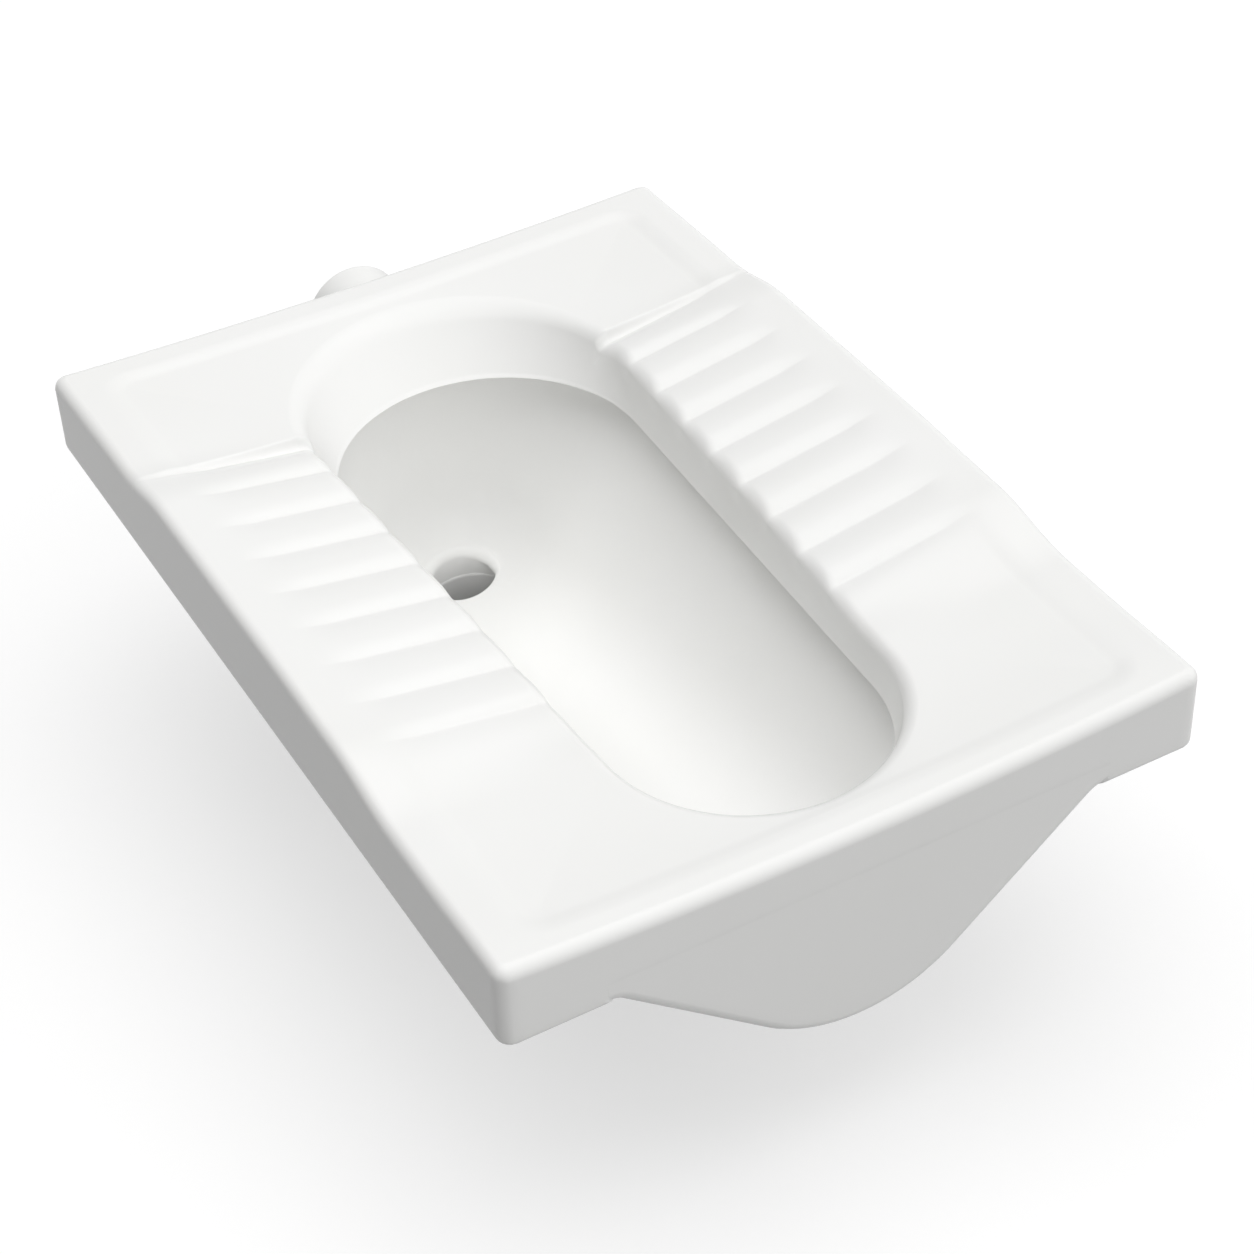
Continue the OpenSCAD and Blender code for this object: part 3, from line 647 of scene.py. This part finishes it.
# Closed shell: down the inside from the mouth, over the drain's rolled edge, down the bore, then out
# under the round bottom, along the keel and up to the mouth's outer edge
def makeBowl():
    count, drainY, middle = bowl["columns"], bowl["drainY"], bowl["trackPole"]
    innerMouth, outerMouth = innerShape[0], outerShape[0]

    def trackAt(angle, outline, flatFront=None):
        line = (0*angle + middle, np.cos(angle), np.sin(angle))
        reach = outlineReach(line, outline)
        if flatFront is not None:
            toFlat = (flatFront - middle)/np.minimum(line[2], -1e-9)
            reach = np.where(line[2] < 0, np.minimum(reach, toFlat), reach)
        return np.stack([reach*line[1], middle + reach*line[2]], -1)

    # The columns are spread evenly along the mouth, with one on each corner of the outside
    angle = np.linspace(0, 2*np.pi, bowl["trackSteps"])
    dense = trackAt(angle, innerMouth)
    length = np.concatenate([[0], np.cumsum(np.linalg.norm(np.diff(dense, axis=0), axis=1))])
    angle = np.interp(np.arange(count)/count*length[-1], length, angle)
    cornerTurn = np.arctan2(bowl["keelFront"] - middle, bowl["flankReach"]) % (2*np.pi)
    for turn in (cornerTurn, 3*np.pi - cornerTurn):
        angle[np.argmin(np.abs(angle - turn))] = turn
    innerTrack, outerTrack = trackAt(angle, innerMouth), trackAt(angle, outerMouth, bowl["keelFront"])
    direction = np.unwrap(np.arctan2(innerTrack[:, 1] - drainY, innerTrack[:, 0]))
    evenTurn = direction[0] + np.arange(count)/count*2*np.pi
    turn = bowl["turnShare"]*direction + (1 - bowl["turnShare"])*evenTurn

    def ring(radius):
        return np.stack([radius*np.cos(turn), drainY + radius*np.sin(turn)], -1)

    def throat(by):
        halfWidth, farLength, nearLength, middleY = bowl["throat"]
        length = np.where(np.sin(turn) > 0, farLength, nearLength) + by
        return np.stack([(halfWidth + by)*np.cos(turn), middleY + length*np.sin(turn)], -1)

    def lift(plan, level):
        return np.concatenate([plan, np.broadcast_to(level, plan.shape[:-1])[..., None]], -1)

    drain, (nearRoll, farRoll) = bowl["drainRadius"], bowl["throatRoll"]
    roll = nearRoll + (farRoll - nearRoll)*ease(0.5 + bowl["rollTurn"]*np.sin(turn))
    lipLevel = opening["lipLevel"]
    rows = [lift(innerTrack, lipLevel), lift(innerTrack, (lipLevel + bowl["shoulder"])/2)]
    for part in np.sin(np.linspace(1, 0, bowl["insideRows"])*np.pi/2)**bowl["insideCrowding"]:
        plan = throat(roll)*(1 - part) + innerTrack*part
        rows.append(lift(plan, troughLevel(plan[:, 0], plan[:, 1], *innerShape)))
    edge = rows[-1][:, 2]
    for bend in np.linspace(0, np.pi/2, bowl["edgeRows"] + 1)[1:]:
        rows.append(lift(throat(roll*(1 - np.sin(bend))), edge - roll*(1 - np.cos(bend))))
    bottom = lift(ring(drain), troughLevel(*ring(drain).T, *outerShape))
    rows += [rows[-1]*(1 - part) + bottom*part for part in (0.33, 0.66)]
    for part in np.sin(np.linspace(0, 1, bowl["outsideRows"])*np.pi/2)**bowl["outsideCrowding"]:
        plan = ring(drain)*(1 - part) + outerTrack*part
        rows.append(lift(plan, troughLevel(plan[:, 0], plan[:, 1], *outerShape)))
    rows += [rows[-1]*(1 - part) + lift(outerTrack, lipLevel)*part for part in (0.25, 0.5, 0.75, 1)]
    points = np.stack(rows, 0)
    makePiece("chinaBowl", "bowl", [(points, gridNormals(points, True, True), True, True)], glazeMaterial)


# Lathe: a closed profile of (radius, distance along the axis) carried round an axis
def latheGrid(profile, count, axis, centre):
    turn = np.arange(count)/count*2*np.pi
    radius, along = profile[:, 0][None], profile[:, 1][None]
    across, rise = radius*np.cos(turn)[:, None], radius*np.sin(turn)[:, None]
    along = np.broadcast_to(along, across.shape)
    order = {"y": (across, along, rise), "z": (across, rise, along)}[axis]
    return np.stack(order, -1) + np.array(centre, float)


def arcPoints(centre, radius, start, end, count):
    turn = np.radians(np.linspace(start, end, count))
    return np.stack([centre[0] + radius*np.cos(turn), centre[1] + radius*np.sin(turn)], -1)


def runPoints(a, b, count):
    part = np.linspace(0, 1, count)[:, None]
    return np.array(a)*(1 - part) + np.array(b)*part


horn = {"radius": 34, "socket": 22, "waterWay": 15, "axisLevel": -40, "mouth": 335, "root": 256,
        "socketDepth": 32, "mouthRound": 3, "endWall": 8, "arch": 26, "endRing": 0.7, "wayRing": 0.66}


# Lathed stub along y: closed end, round outside, rolled mouth, socket and water way
def makeHorn():
    r, mouth, root, edge = horn["radius"], horn["mouth"], horn["root"], horn["mouthRound"]
    socketEnd = mouth - horn["socketDepth"]
    profile = np.concatenate([
        runPoints((0, root), (r*horn["endRing"], root), 3),
        runPoints((r, root), (r, mouth - edge), 24),
        arcPoints((r - edge, mouth - edge), edge, 0, 90, 7)[1:],
        arcPoints((horn["socket"] + edge, mouth - edge), edge, 90, 180, 7),
        runPoints((horn["socket"], mouth - edge), (horn["socket"], socketEnd), 10)[1:],
        runPoints((horn["waterWay"], socketEnd), (horn["waterWay"], root + horn["endWall"]), 12),
        runPoints((horn["waterWay"]*horn["wayRing"], root + horn["endWall"]), (0, root + horn["endWall"]), 3),
    ])
    points = latheGrid(profile, 96, "y", (0, 0, horn["axisLevel"]))
    # Under the plate the round top is cut flat
    behindSkirt = points[..., 1] < deck["halfLength"] - deck["skirtWall"]
    radial = np.hypot(points[..., 0], points[..., 2] - horn["axisLevel"])
    ceiling = np.where(radial < horn["waterWay"] + 1, deck["plateFloor"] - 2, deck["plateFloor"])
    points[..., 2] = np.where(behindSkirt, np.minimum(points[..., 2], ceiling), points[..., 2])
    makePiece("inletHorn", "inlet_horn", [(points, gridNormals(points, True, False), True, False)],
              glazeMaterial)


spigot = {"radius": 45, "bore": 34, "end": -250, "straightTop": -198, "rootRound": 27.8, "endRound": 3,
          "boreTop": -190}


# Lathed tube along z that flares into the sump's round bottom
def makeSpigot():
    r, bore, end, edge = spigot["radius"], spigot["bore"], spigot["end"], spigot["endRound"]
    root = spigot["rootRound"]
    sump = bowl["sumpRadius"] + bowl["wall"]
    rootAngle = np.degrees(np.arcsin((bowl["sumpLevel"] - spigot["straightTop"])/(sump + root)))
    profile = np.concatenate([
        arcPoints((bore + edge, end + edge), edge, 180, 270, 6),
        arcPoints((r - edge, end + edge), edge, 270, 360, 6),
        runPoints((r, end + edge), (r, spigot["straightTop"]), 14)[1:],
        arcPoints((r + root, spigot["straightTop"]), root, 180, 180 - rootAngle, 14)[1:],
        arcPoints((0, bowl["sumpLevel"]), sump - 1, -rootAngle, -np.degrees(np.arccos(bore/(sump - 1))), 10),
        runPoints((bore, spigot["boreTop"]), (bore, end + edge), 16)[1:-1],
    ])
    points = latheGrid(profile, 96, "z", (0, bowl["drainY"], 0))
    # The top ends 1 mm inside the bowl's round bottom
    ceiling = troughLevel(points[..., 0], points[..., 1], *outerShape) + 1
    points[..., 2] = np.minimum(points[..., 2], ceiling)
    makePiece("outletSpigot", "outlet_spigot", [(points, gridNormals(points, True, True), True, True)],
              glazeMaterial)


apron = {"keelRadius": 100, "flankSlope": 39.7, "fillet": 16, "edge": 8, "thickness": 12,
         "keelColumns": 60, "flankColumns": 24, "filletColumns": 16, "faceRows": 20, "edgeRows": 8,
         "backRows": 8}
# Half its width where its hollow fillets meet the skirt's foot
flankTurn = np.radians(apron["flankSlope"])
bellHalfWidth = (apron["keelRadius"] + apron["fillet"]*(1 - np.cos(flankTurn)))/np.sin(flankTurn)


# Bell-shaped wall: columns run down from the step in the skirt to a round keel with straight flanks
def makeBell():
    fillet, foot, slope = apron["fillet"], deck["skirtFoot"], apron["flankSlope"]
    # Right half of the bell's edge from its lowest point: keel arc, flank, hollow fillet
    keelArc = arcPoints((0, foot), apron["keelRadius"], -90, slope - 90, apron["keelColumns"])
    filletArc = arcPoints((bellHalfWidth, foot - fillet), fillet, 90 + slope, 90, apron["filletColumns"])
    flank = runPoints(keelArc[-1], filletArc[0], apron["flankColumns"])
    track = np.concatenate([keelArc, flank[1:], filletArc[1:]])
    track = np.concatenate([track[:0:-1]*np.array([-1, 1]), track])
    tangent = np.gradient(track, axis=0)
    tangent /= np.linalg.norm(tangent, axis=1, keepdims=True)
    inward = np.stack([-tangent[:, 1], tangent[:, 0]], -1)
    edge, frontY = apron["edge"], -deck["halfLength"]
    backY = frontY + apron["thickness"]
    start = track + inward*edge
    top = np.stack([track[:, 0], np.full(len(track), deck["notchLevel"])], -1)

    def place(plan, y):
        return np.stack([plan[:, 0], np.full(len(plan), y), plan[:, 1]], -1)

    rows = [place(top*(1 - part) + start*part, frontY) for part in np.linspace(0, 1, apron["faceRows"])]
    rows += [place(track + inward*edge*(1 - np.sin(turn)), frontY + edge*(1 - np.cos(turn)))
             for turn in np.linspace(0, np.pi/2, apron["edgeRows"] + 1)[1:]]
    rows += [place(track*(1 - part) + top*part, backY) for part in np.linspace(0, 1, apron["backRows"])]
    points = np.stack(rows, 0)
    count = points.shape[1]
    firstEnd = [i*count for i in range(len(rows))]
    lastEnd = [i + count - 1 for i in firstEnd][::-1]
    makePiece("frontApron", "front_apron", [(points, gridNormals(points, True, False), True, False)],
              glazeMaterial, [firstEnd, lastEnd])


makeTread("rightFootTread", "right_foot_tread", False)
makeTread("leftFootTread", "left_foot_tread", True)
makeDeck()
makeRim()
makeBowl()
makeHorn()
makeSpigot()
makeBell()

# Pale floor under the spigot, in metres. It is as white as the background outside the shadow
floorSettings = {"half": 15, "level": -0.0003, "seen": 0.49, "bounce": 0.33, "glow": 0.56}
# Wide softbox, bright round its middle, and a soft key from above the rear edge
lightSettings = {"horizon": 0.08, "zenith": 1.12, "boxAzimuth": 30, "boxElevation": 34,
                 "boxReach": (0.3, 0.95), "keyStrength": 1.68, "keyAngle": 70, "keyAzimuth": 195,
                 "keyElevation": 79}


# 1 on the rays that show the background: straight from the camera, in gloss or through glass
def seenRays(tree):
    rays = addNode(tree, "ShaderNodeLightPath").outputs
    direct = addNode(tree, "ShaderNodeMath", {"operation": "MAXIMUM"}, None,
                     {0: rays["Is Camera Ray"], 1: rays["Is Glossy Ray"]})
    seen = addNode(tree, "ShaderNodeMath", {"operation": "MAXIMUM"}, None,
                   {0: direct.outputs[0], 1: rays["Is Transmission Ray"]})
    return rays, seen.outputs[0]


# Matte floor: it bounces less light than the camera sees, so the object keeps its own tones
def makeFloor():
    half, level = floorSettings["half"], floorSettings["level"]
    corners = [(-half, -half, level), (half, -half, level), (half, half, level), (-half, half, level)]
    mesh = bpy.data.meshes.new("studioFloor")
    mesh.from_pydata(corners, [], [(0, 1, 2, 3)])
    floor = bpy.data.objects.new("studioFloor", mesh)
    bpy.context.scene.collection.objects.link(floor)
    material = bpy.data.materials.new("matteStudioFloor")
    material.use_nodes = True
    tree = material.node_tree
    tree.nodes.clear()
    rays, seen = seenRays(tree)
    strength = addNode(tree, "ShaderNodeMath", {"operation": "MULTIPLY"}, {1: floorSettings["glow"]},
                       {0: seen})
    glow = addNode(tree, "ShaderNodeEmission", None, None, {"Strength": strength.outputs[0]})
    shade = addNode(tree, "ShaderNodeMapRange", None,
                    {"To Min": floorSettings["bounce"], "To Max": floorSettings["seen"]},
                    {"Value": rays["Is Camera Ray"]})
    matte = addNode(tree, "ShaderNodeBsdfDiffuse", None, None, {"Color": shade.outputs[0]})
    both = addNode(tree, "ShaderNodeAddShader", None, None, {0: glow.outputs[0], 1: matte.outputs[0]})
    addNode(tree, "ShaderNodeOutputMaterial", None, None, {"Surface": both.outputs[0]})
    mesh.materials.append(material)


# Sky that lights the object as a softbox and shows as plain white itself
def makeSky():
    world = bpy.data.worlds.new("studioSky")
    world.use_nodes = True
    tree = world.node_tree
    direction = addNode(tree, "ShaderNodeTexCoord").outputs["Generated"]
    facing = addNode(tree, "ShaderNodeVectorMath", {"operation": "DOT_PRODUCT"},
                     {1: towards(lightSettings["boxAzimuth"], lightSettings["boxElevation"])}, {0: direction})
    level = addNode(tree, "ShaderNodeMapRange", {"interpolation_type": "SMOOTHSTEP"},
                    {"From Min": lightSettings["boxReach"][0], "From Max": lightSettings["boxReach"][1],
                     "To Min": lightSettings["horizon"], "To Max": lightSettings["zenith"]},
                    {"Value": facing.outputs["Value"]})
    shown = addNode(tree, "ShaderNodeMapRange", None, {"To Max": 1.0},
                    {"Value": seenRays(tree)[1], "To Min": level.outputs[0]})
    background = tree.nodes["Background"]
    background.inputs["Color"].default_value = (1, 1, 1, 1)
    tree.links.new(shown.outputs[0], background.inputs["Strength"])
    bpy.context.scene.world = world


def makeKey():
    lamp = bpy.data.lights.new("softKey", "SUN")
    lamp.energy = lightSettings["keyStrength"]
    lamp.angle = np.radians(lightSettings["keyAngle"])
    key = bpy.data.objects.new("softKey", lamp)
    aim = towards(lightSettings["keyAzimuth"], lightSettings["keyElevation"])
    key.rotation_euler = aim.to_track_quat("Z", "Y").to_euler()
    bpy.context.scene.collection.objects.link(key)


bpy.context.scene.view_settings.view_transform = "Standard"
makeFloor()
makeSky()
makeKey()
print("stage lit")
